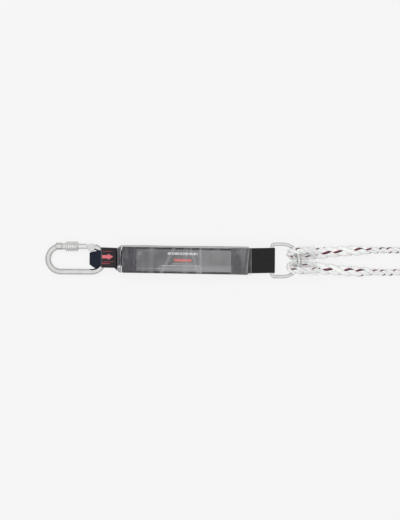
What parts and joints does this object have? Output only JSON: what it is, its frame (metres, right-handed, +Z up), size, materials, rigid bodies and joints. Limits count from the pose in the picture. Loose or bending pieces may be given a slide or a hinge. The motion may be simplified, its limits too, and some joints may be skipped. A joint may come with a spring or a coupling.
{
  "type": "twin shock-absorbing lanyard",
  "caption": "Twin fall-arrest lanyard: screw-gate carabiner, tear-webbing absorber in clear film, D-ring, twisted rope legs in tied hanks, scaffold hooks.",
  "frame": {"origin": "on the ground, under the middle of the box round carabiner, absorber and D-ring", "axes": "+X from the carabiner towards the rope legs, +Y to the carabiner's gate side, +Z up"},
  "size_m": [1.1947, 0.184, 0.0402],
  "materials": {
    "zinc_steel": "bright zinc plate",
    "spring_steel": "plain wire",
    "navy_webbing": "dense woven polyester",
    "black_webbing": "dense woven polyester",
    "grey_webbing": "woven tear webbing",
    "label": "printed sheet, bare",
    "clear_film": "clear film",
    "clear_sleeve": "milky clear sleeve",
    "rope": "three-strand twisted rope with tracer yarns",
    "thread": "bonded thread",
    "tie_webbing": "woven tape",
    "hook_alloy": "forged and tumbled",
    "hook_steel": "pressed sheet"
  },
  "bodies": {
    "lanyard": {"harness_loop": "navy_webbing", "label_tab": "black_webbing", "tear_webbing": "grey_webbing", "ring_loop": "black_webbing", "label_sheet": "label", "clear_cover": "clear_film", "ring_bartack": "thread", "neck_sleeve": "clear_sleeve", "ring_eye_a": "rope", "rope_run_a": "rope", "rope_hank_a": "rope", "hank_tie_a": "tie_webbing", "hook_eye_a": "rope", "hook_sleeve_a": "clear_sleeve", "ring_eye_b": "rope", "rope_run_b": "rope", "rope_hank_b": "rope", "hank_tie_b": "tie_webbing", "hook_eye_b": "rope", "hook_sleeve_b": "clear_sleeve"},
    "carabiner": {"carabiner_body": "zinc_steel", "gate_rivet": "zinc_steel"},
    "gate": {"carabiner_gate": "zinc_steel", "latch_pin": "zinc_steel", "gate_spring": "spring_steel"},
    "locking_sleeve": {"screw_sleeve": "zinc_steel"},
    "ring": {"d_ring": "zinc_steel"},
    "hook_a": {"hook_a_body": "hook_alloy", "hook_a_gate_rivet": "zinc_steel", "hook_a_gate_spring": "spring_steel", "hook_a_lever_rivet": "zinc_steel", "hook_a_lever_spring": "spring_steel"},
    "hook_a_gate_arm": {"hook_a_gate": "hook_steel"},
    "hook_a_lock_lever": {"hook_a_lever": "hook_steel"},
    "hook_b": {"hook_b_body": "hook_alloy", "hook_b_gate_rivet": "zinc_steel", "hook_b_gate_spring": "spring_steel", "hook_b_lever_rivet": "zinc_steel", "hook_b_lever_spring": "spring_steel"},
    "hook_b_gate_arm": {"hook_b_gate": "hook_steel"},
    "hook_b_lock_lever": {"hook_b_lever": "hook_steel"}
  },
  "joints": [
    {"name": "carabiner_swing", "type": "hinge", "parent": "lanyard", "child": "carabiner", "pos_m": [-0.12062, 0, 0.0085], "axis": [0, 1, 0], "range_deg": [0, 60], "deforming": ["harness_loop", "label_tab"]},
    {"name": "gate_hinge", "type": "hinge", "parent": "carabiner", "child": "gate", "pos_m": [-0.14322, 0.0203, 0.0085], "axis": [0, 0, 1], "range_deg": [0, 28], "stiffness_Nm_per_rad": 0.15, "springref_deg": -17.19, "deforming": ["gate_spring"]},
    {"name": "sleeve_travel", "type": "slide", "parent": "gate", "child": "locking_sleeve", "axis": [-1, 0, 0], "range_m": [0, 0.0095]},
    {"name": "ring_swing", "type": "hinge", "parent": "lanyard", "child": "ring", "pos_m": [0.17317, 0, 0.0165], "axis": [0, -1, 0], "range_deg": [0, 35], "deforming": ["ring_eye_a", "ring_eye_b", "neck_sleeve"]},
    {"name": "hook_a_swing", "type": "hinge", "parent": "lanyard", "child": "hook_a", "pos_m": [0.77438, 0.046, 0.0196], "axis": [0, -1, 0], "range_deg": [0, 60], "deforming": ["hook_eye_a"]},
    {"name": "hook_a_gate_hinge", "type": "hinge", "parent": "hook_a", "child": "hook_a_gate_arm", "pos_m": [0.83622, 0.037, 0.01519], "axis": [0.0711, 0, 0.9975], "range_deg": [0, 27], "stiffness_Nm_per_rad": 0.4, "springref_deg": -22.92},
    {"name": "hook_a_lever_hinge", "type": "hinge", "parent": "hook_a", "child": "hook_a_lock_lever", "pos_m": [0.81427, 0.0485, 0.01676], "axis": [-0.0711, 0, -0.9975], "range_deg": [0, 6], "stiffness_Nm_per_rad": 0.4, "springref_deg": -22.92},
    {"name": "hook_b_swing", "type": "hinge", "parent": "lanyard", "child": "hook_b", "pos_m": [0.77438, -0.046, 0.0196], "axis": [0, -1, 0], "range_deg": [0, 60], "deforming": ["hook_eye_b"]},
    {"name": "hook_b_gate_hinge", "type": "hinge", "parent": "hook_b", "child": "hook_b_gate_arm", "pos_m": [0.83622, -0.037, 0.01519], "axis": [-0.0711, 0, -0.9975], "range_deg": [0, 27], "stiffness_Nm_per_rad": 0.4, "springref_deg": -22.92},
    {"name": "hook_b_lever_hinge", "type": "hinge", "parent": "hook_b", "child": "hook_b_lock_lever", "pos_m": [0.81427, -0.0485, 0.01676], "axis": [0.0711, 0, 0.9975], "range_deg": [0, 6], "stiffness_Nm_per_rad": 0.4, "springref_deg": -22.92}
  ]
}
